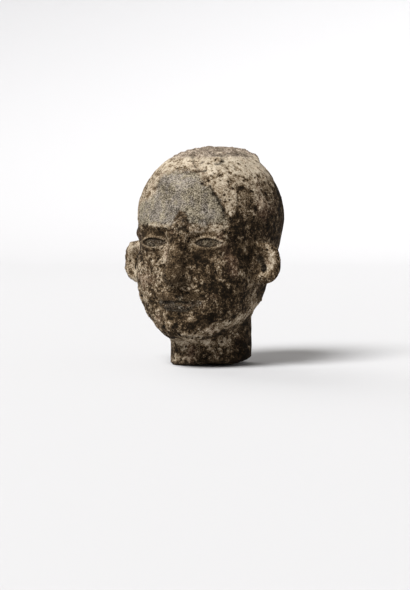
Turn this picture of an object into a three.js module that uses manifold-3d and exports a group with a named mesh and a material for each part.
// A fired clay head of a close-shaven figure, broken off at the neck, with a worn break on its crown.
// Millimetres, +Z up. The face looks along -Y, its own left is +X, and the neck's break rests on z = 0.
import * as THREE from "three";
import { mergeVertices } from "three/addons/utils/BufferGeometryUtils.js";
import Module from "manifold-3d";

// Driving dimensions
const totalHeight = 130; // from the neck's break to the crown
const headHeight = 112; // from the chin to the crown
const skullWidth = 85.5;
const skullDepth = 98;
const skullHeight = 87;
const neckWidth = 49;
const earHeight = 24;
const earOut = 49.9; // from the middle of the head to the ear's edge
const stubWidth = 48; // the broken boss on the crown

// The face's levels, in the usual canon: eyes at half the head, and brow, nose and chin one part apart
const chin = totalHeight - headHeight;
const eyeLine = chin + headHeight / 2;
const part = headHeight / 3.5;
const noseBase = chin + part;
const browLine = noseBase + part;
const mouthLine = noseBase - part / 3;
const eyeSide = skullWidth / 5; // from the middle to each eye
const skullMiddle = [0, 0, totalHeight - 42];
const faceFront = -51;
const neckRadius = neckWidth / 2;

const clay = { color: 0x74664f, roughness: 0.92, metalness: 0 };

// Rounded masses of clay, each added to the ones before it. "reach" is how far its edge is smoothed in,
// and a paired mass is on both sides.
const masses = {
  skull: { at: skullMiddle, size: [skullWidth / 2, skullDepth / 2, skullHeight / 2], reach: 1 },
  nape: { at: [0, 6, 57.5], size: [29, 36, 26.5], reach: 18 },
  face: { at: [0, -14, 58], size: [34.5, 33, 40], reach: 12 },
  cheeks: { at: [20, -31.5, 57], size: [11, 10, 11], reach: 10, paired: true },
  muzzle: { at: [0, -36, mouthLine + 1], size: [17, 12, 14.5], reach: 11 },
  earRoots: { at: [37.5, -13.4, 61.5], size: [4.5, 5.5, 9.5], reach: 5, paired: true },
  jowls: { at: [18, -26, 42], size: [12, 12, 13], reach: 12, paired: true },
  chinPad: { at: [0, faceFront + 12, chin + 8.5], size: [11, 9.5, 9], reach: 8 },
};

// Tapered rolls of clay through the points of "path", with a radius at each point
const neck = {
  path: [[0, 0, -16], [0, 0, 46]],
  radii: [neckRadius + 0.5, neckRadius - 0.6],
  reach: 6,
  below: -8, // where the roll ends, before the break is cut
};
const jaw = { path: [[22.5, -1, 45], [9, -32, 28]], radii: [8.5, 8.5], reach: 12, paired: true };
const features = {
  brow: {
    path: [
      [-1, -45.2, browLine - 1.2],
      [7, -44.8, browLine + 0.4],
      [15, -42.6, browLine + 1.4],
      [23, -38.2, browLine + 0.6],
      [31, -31.4, browLine - 3.2],
    ],
    radii: [1.8, 2.3, 2.3, 2, 1.2],
    reach: 7,
    paired: true,
  },
  bridge: { path: [[0, -45.2, eyeLine + 6], [0, -52.6, noseBase + 8]], radii: [3.6, 5], reach: 6 },
  tip: { path: [[0, -53.4, noseBase + 6.8], [0, -54.6, noseBase + 5.2]], radii: [4.8, 4.9], reach: 3 },
  wings: {
    path: [[5.7, -48.6, noseBase + 4.2], [4.3, -51.4, noseBase + 3.9]],
    radii: [3.3, 2.9],
    reach: 2.5,
    paired: true,
  },
};

// An eyeball in a hollow under the brow, and a lid shell over it, open between two shallow arcs
const eye = {
  at: [eyeSide, -34.4, eyeLine - 0.4],
  ball: 9.8,
  lid: 1.35,
  reach: 2.4,
  opening: { halfWidth: 8.6, up: 2.7, down: 2.4, back: -38.6, depth: 15 },
  socket: { at: [eyeSide, -51.5, eyeLine + 0.4], size: [12, 9.2, 8.2], reach: 7 },
};

// Two lips that meet in a thin groove
const mouth = {
  corner: [12.8, -44.9, mouthLine - 0.3],
  cornerRadius: 1,
  fullest: 0.36, // how far out each lip is fullest, as a share of the mouth's half
  pout: 0.2, // how far the middle of each lip stands before its fullest part
  upper: { front: -47.9, rise: 2.2, radius: 2.2, dip: 0.6 },
  lower: { front: -47.5, rise: -2.9, radius: 2.7, dip: 0 },
  reach: 2.4,
  groove: { path: [[12.8, -46.2, mouthLine - 0.3], [0, -51.1, mouthLine]], radii: [0.45, 0.75], reach: 1.2 },
};

// Hollows pressed into the clay
const hollows = {
  philtrum: { path: [[0, -52.6, mouthLine + 4.6], [0, -51.8, noseBase - 1]], radii: [1.9, 1.9], reach: 2 },
  underLip: {
    path: [[-5, -50.8, mouthLine - 7.8], [5, -50.8, mouthLine - 7.8]],
    radii: [2.2, 2.2],
    reach: 6,
  },
  mouthCorners: {
    path: [[13.6, -47, mouthLine + 0.4], [14.8, -46.2, mouthLine - 1.4]],
    radii: [0.8, 0.8],
    reach: 5,
    paired: true,
  },
  nostrils: {
    path: [[3.6, -52.6, noseBase - 0.2], [3.9, -50.6, noseBase + 0.2]],
    radii: [1.7, 1.7],
    reach: 1,
    paired: true,
  },
};

// The crown: a low boss with a ragged edge, worn down to a rough, slightly domed break
const stub = {
  at: [2.3, 3.4, totalHeight - 6],
  halfHeight: 6.5,
  reach: 2.2,
  raggedness: [[1.1, 3, 1], [0.8, 5, 2.2], [0.5, 11, 0]], // height, waves round the edge, phase
  // The break has worn down by "fall" at "edge" from its high point, and more slowly to the front
  wear: { from: [1.8, 11], fall: 8.3, edge: 27, power: 2.6, frontEase: 0.55 },
  // Its roughness: a height and two lengths for its pits and for its swells, and how low it lies for them
  pits: [0.45, 3.1, 2.7],
  swells: [0.4, 7, 5],
  sunk: 0.3,
};

// Slow swells left by the fingers
const handwork = { height: 0.45, lengths: [13, 15, 17] };

// The left ear, cupped to the front. The right one mirrors it.
const ear = {
  lean: Math.atan2(0.34, 0.94), // how far its plate turns back
  size: [9, 3.8, earHeight / 2],
  at: [earOut - 8.5, -16, 61.5],
  hollow: { shift: [-0.6, -4.4, -0.3], size: [6.1, 3.8, 9] },
  hole: { path: [[43, -22.7, 58.4], [39.6, -16.2, 57.8]], radii: [1.9, 1.5] },
  dimple: { path: [[41.4, -22.2, 62.6], [39.6, -17.4, 61.6]], radii: [1.7, 1.2] },
};

// The break under the neck: flat, then rising to two chips, with nicks round its edge. A chip faces "turn"
// in degrees, starts at "start" from the middle, and ends "rise" high.
const base = {
  chips: [{ turn: 24, start: 10, rise: 4.4 }, { turn: -66, start: 11, rise: 2.8 }],
  depth: 20,
  reach: 60,
  nicks: [[-150, 2.2], [-118, 1.7], [-84, 2.5], [-52, 1.8], [96, 2.1], [150, 2.6]], // degrees, radius
};

function toEllipsoid(x, y, z, at, size) {
  const [px, py, pz] = [x - at[0], y - at[1], z - at[2]];
  const near = Math.hypot(px / size[0], py / size[1], pz / size[2]);
  const slope = Math.hypot(px / size[0] ** 2, py / size[1] ** 2, pz / size[2] ** 2);
  return slope < 1e-9 ? -Math.min(...size) : (near * (near - 1)) / slope;
}

function toRoll(x, y, z, from, to, startRadius, endRadius) {
  const [ax, ay, az] = [to[0] - from[0], to[1] - from[1], to[2] - from[2]];
  const [px, py, pz] = [x - from[0], y - from[1], z - from[2]];
  const along = (px * ax + py * ay + pz * az) / (ax * ax + ay * ay + az * az);
  const share = Math.min(1, Math.max(0, along));
  const away = Math.hypot(px - ax * share, py - ay * share, pz - az * share);
  return away - (startRadius + (endRadius - startRadius) * share);
}

function toPath(x, y, z, { path, radii, paired }) {
  const side = paired ? Math.abs(x) : x;
  let away = Infinity;
  for (let i = 1; i < path.length; i++) {
    away = Math.min(away, toRoll(side, y, z, path[i - 1], path[i], radii[i - 1], radii[i]));
  }
  return away;
}

function join(a, b, reach) {
  const overlap = Math.max(reach - Math.abs(a - b), 0) / reach;
  return Math.min(a, b) - (overlap * overlap * reach) / 4;
}

function cut(a, b, reach) {
  return -join(-a, b, reach);
}

function withSocket(form, x, y, z) {
  const { at, size, reach } = eye.socket;
  return cut(form, toEllipsoid(Math.abs(x), y, z, at, size), reach);
}

function withLids(form, x, y, z) {
  const away = Math.hypot(Math.abs(x) - eye.at[0], y - eye.at[1], z - eye.at[2]);
  return join(form, away - eye.ball - eye.lid, eye.reach);
}

function toLip(x, y, z, { front, rise, radius, dip }) {
  const side = Math.abs(x);
  const full = [mouth.corner[0] * mouth.fullest, front, mouthLine + rise];
  const middle = [0, front - mouth.pout, mouthLine + rise - dip];
  const outer = toRoll(side, y, z, mouth.corner, full, mouth.cornerRadius, radius);
  return Math.min(outer, toRoll(side, y, z, full, middle, radius, radius));
}

function withMouth(form, x, y, z) {
  const lips = Math.min(toLip(x, y, z, mouth.upper), toLip(x, y, z, mouth.lower));
  const groove = toPath(x, y, z, { ...mouth.groove, paired: true });
  return cut(join(form, lips, mouth.reach), groove, mouth.groove.reach);
}

function withStub(form, x, y, z) {
  const [px, py] = [x - stub.at[0], y - stub.at[1]];
  const turn = Math.atan2(py, px);
  const ragged = stub.raggedness.reduce((sum, [height, waves, phase]) => (
    sum + height * Math.sin(waves * turn + phase)
  ), 0);
  const side = Math.hypot(px, py) - stubWidth / 2 - ragged;
  const boss = cut(side, stub.halfHeight - Math.abs(z - stub.at[2]), stub.reach);
  const [pitHigh, pitX, pitY] = stub.pits;
  const [swellHigh, swellX, swellY] = stub.swells;
  const pits = pitHigh * Math.sin(px / pitX + 1) * Math.sin(py / pitY);
  const swells = swellHigh * Math.sin(px / swellX - py / swellY);
  const { from, fall, edge, power, frontEase } = stub.wear;
  const [wx, wy] = [x - from[0], y - from[1]];
  const worn = Math.hypot(wx, wy < 0 ? wy * frontEase : wy) / edge;
  const top = totalHeight - stub.sunk - fall * worn ** power + pits + swells;
  return Math.max(join(form, boss, stub.reach), z - top);
}

// Signed distance from a point to the surface of the head without its ears, negative inside
function headForm(x, y, z) {
  let form = Infinity;
  for (const { at, size, reach, paired } of Object.values(masses)) {
    const away = toEllipsoid(paired ? Math.abs(x) : x, y, z, at, size);
    form = form === Infinity ? away : join(form, away, reach);
  }
  for (const roll of [neck, jaw]) {
    form = join(form, toPath(x, y, z, roll), roll.reach);
  }
  form = withSocket(form, x, y, z);
  for (const roll of Object.values(features)) {
    form = join(form, toPath(x, y, z, roll), roll.reach);
  }
  form = withMouth(withLids(form, x, y, z), x, y, z);
  for (const hollow of Object.values(hollows)) {
    form = cut(form, toPath(x, y, z, hollow), hollow.reach);
  }
  form = Math.max(withStub(form, x, y, z), neck.below - z);
  const [lx, ly, lz] = handwork.lengths;
  return form + handwork.height * Math.sin(x / lx + 1) * Math.sin(y / ly) * Math.sin(z / lz + 2);
}

// Rows and columns of the head's net, close together where the face needs them. Each span is
// [its last angle in degrees, its number of steps].
const netCentre = [0, -3, 66];
const netReach = 0.62 * totalHeight; // from there to beyond the head, in every direction
const halvings = 24;
const rowSpans = [
  [-74, 1], [-70.5, 1], [-61, 3], [-50, 5], [-40, 3], [-26, 10], [-10, 9], [3, 4], [15, 6], [26, 5],
  [50, 5], [60, 2], [76, 6], [90, 3],
];
const columnSpans = [[36, 14], [76, 7], [180, 9]];

function steps(start, spans) {
  const angles = [start];
  for (const [end, count] of spans) {
    const from = angles.at(-1);
    for (let i = 1; i <= count; i++) {
      angles.push(from + ((end - from) * i) / count);
    }
  }
  return angles;
}

// The outermost point of the form in a direction, found by a walk inwards and then by halving
function surfaceAlong(direction) {
  const at = (far) => netCentre.map((v, i) => v + direction[i] * far);
  let outside = netReach;
  while (headForm(...at(outside - 1)) > 0) {
    outside -= 1;
  }
  let inside = outside - 1;
  for (let i = 0; i < halvings; i++) {
    const middle = (inside + outside) / 2;
    if (headForm(...at(middle)) > 0) {
      outside = middle;
    } else {
      inside = middle;
    }
  }
  return at(inside);
}

function headGeometry() {
  const half = steps(0, columnSpans);
  const turns = [...half.slice(1, -1).reverse().map((angle) => -angle), ...half];
  const rows = steps(-90, rowSpans).slice(1, -1);
  const points = rows.flatMap((row) => turns.map((turn) => {
    const [up, round] = [THREE.MathUtils.degToRad(row), THREE.MathUtils.degToRad(turn)];
    const out = Math.cos(up);
    return surfaceAlong([Math.sin(round) * out, -Math.cos(round) * out, Math.sin(up)]);
  }));
  const bottom = points.push(surfaceAlong([0, 0, -1])) - 1;
  const top = points.push(surfaceAlong([0, 0, 1])) - 1;
  const gap = (a, b) => Math.hypot(...points[a].map((v, i) => v - points[b][i]));
  const faces = [];
  const count = turns.length;
  for (let i = 0; i < count; i++) {
    const next = (i + 1) % count;
    faces.push(bottom, next, i);
    for (let row = 0; row < rows.length - 1; row++) {
      const [a, b] = [row * count + i, row * count + next];
      const [c, d] = [b + count, a + count];
      const triangles = gap(a, c) < gap(b, d) ? [a, b, c, a, c, d] : [a, b, d, b, c, d];
      faces.push(...triangles);
    }
    const last = (rows.length - 1) * count;
    faces.push(last + i, last + next, top);
  }
  const geometry = new THREE.BufferGeometry();
  geometry.setAttribute("position", new THREE.Float32BufferAttribute(points.flat(), 3));
  geometry.setIndex(faces);
  return geometry;
}

// How many facets round and up each shape has that is joined or cut as a solid
const facets = { plate: [18, 12], hollow: [12, 8], eyeball: [24, 16], bore: 10, lid: 10 };

const wasm = await Module();
wasm.setup();

function solidOf(geometry) {
  const bare = geometry.clone();
  bare.deleteAttribute("normal");
  bare.deleteAttribute("uv");
  const merged = mergeVertices(bare, 1e-4);
  return new wasm.Manifold(new wasm.Mesh({
    numProp: 3,
    vertProperties: merged.attributes.position.array,
    triVerts: new Uint32Array(merged.index.array),
  }));
}

function geometryOf(solid) {
  const mesh = solid.getMesh();
  const geometry = new THREE.BufferGeometry();
  geometry.setAttribute("position", new THREE.BufferAttribute(mesh.vertProperties, 3));
  geometry.setIndex(new THREE.BufferAttribute(mesh.triVerts, 1));
  geometry.computeVertexNormals();
  return geometry;
}

function ellipsoid([sx, sy, sz], [round, high]) {
  return new THREE.SphereGeometry(1, round, high).rotateX(Math.PI / 2).scale(sx, sy, sz);
}

// A round plug from the first point of a path to the last, mirrored in x where side is -1
function plug({ path, radii }, side) {
  const [from, to] = path.map(([x, y, z]) => new THREE.Vector3(x * side, y, z));
  const along = to.clone().sub(from);
  const turn = new THREE.Quaternion().setFromUnitVectors(
    new THREE.Vector3(0, 1, 0),
    along.clone().normalize(),
  );
  const middle = from.clone().add(to).divideScalar(2);
  return new THREE.CylinderGeometry(radii[1], radii[0], along.length(), facets.bore)
    .applyQuaternion(turn)
    .translate(middle.x, middle.y, middle.z);
}

function placeOnEar(geometry, [sx, sy, sz], side) {
  return geometry
    .translate(sx * side, sy, sz)
    .rotateZ(ear.lean * side)
    .translate(ear.at[0] * side, ear.at[1], ear.at[2]);
}

function withEyeOpen(head, side) {
  const { halfWidth, up, down, back, depth } = eye.opening;
  const [x, y, z] = eye.at;
  const almond = new THREE.Shape();
  almond.moveTo(-halfWidth, 0);
  almond.quadraticCurveTo(0, 2 * up, halfWidth, 0);
  almond.quadraticCurveTo(0, -2 * down, -halfWidth, 0);
  const opening = new THREE.ExtrudeGeometry(almond, { depth, bevelEnabled: false, curveSegments: facets.lid })
    .rotateX(Math.PI / 2)
    .translate(x * side, back, z);
  const ball = new THREE.SphereGeometry(eye.ball, ...facets.eyeball).translate(x * side, y, z);
  return head.subtract(solidOf(opening)).add(solidOf(ball));
}

function withEar(head, side) {
  const plate = placeOnEar(ellipsoid(ear.size, facets.plate), [0, 0, 0], side);
  const hollow = placeOnEar(ellipsoid(ear.hollow.size, facets.hollow), ear.hollow.shift, side);
  return head
    .add(solidOf(plate))
    .subtract(solidOf(hollow))
    .subtract(solidOf(plug(ear.hole, side)))
    .subtract(solidOf(plug(ear.dimple, side)));
}

// What broke away below the neck: everything under z = 0 and under the slope of one chip
function underChip({ turn, start, rise }) {
  const { depth, reach } = base;
  const profile = new THREE.Shape([
    new THREE.Vector2(-reach, -depth),
    new THREE.Vector2(reach, -depth),
    new THREE.Vector2(reach, rise * (reach - start) / (neckRadius - start)),
    new THREE.Vector2(start, 0),
    new THREE.Vector2(-reach, 0),
  ]);
  return new THREE.ExtrudeGeometry(profile, { depth: 2 * reach, bevelEnabled: false })
    .translate(0, 0, -reach)
    .rotateX(Math.PI / 2)
    .rotateZ(THREE.MathUtils.degToRad(turn));
}

function withBrokenBase(head) {
  const nicks = base.nicks.map(([degrees, radius]) => {
    const angle = THREE.MathUtils.degToRad(degrees);
    return new THREE.IcosahedronGeometry(radius, 0)
      .translate(Math.cos(angle) * neckRadius, Math.sin(angle) * neckRadius, 0);
  });
  const lost = [...base.chips.map(underChip), ...nicks];
  return lost.reduce((left, piece) => left.subtract(solidOf(piece)), head);
}

let whole = withBrokenBase(solidOf(headGeometry()));
for (const side of [1, -1]) {
  whole = withEar(withEyeOpen(whole, side), side);
}
const terracottaHead = new THREE.Mesh(geometryOf(whole), new THREE.MeshStandardMaterial(clay));
terracottaHead.name = "terracotta_head";
const head = new THREE.Group();
head.add(terracottaHead);

export default head;
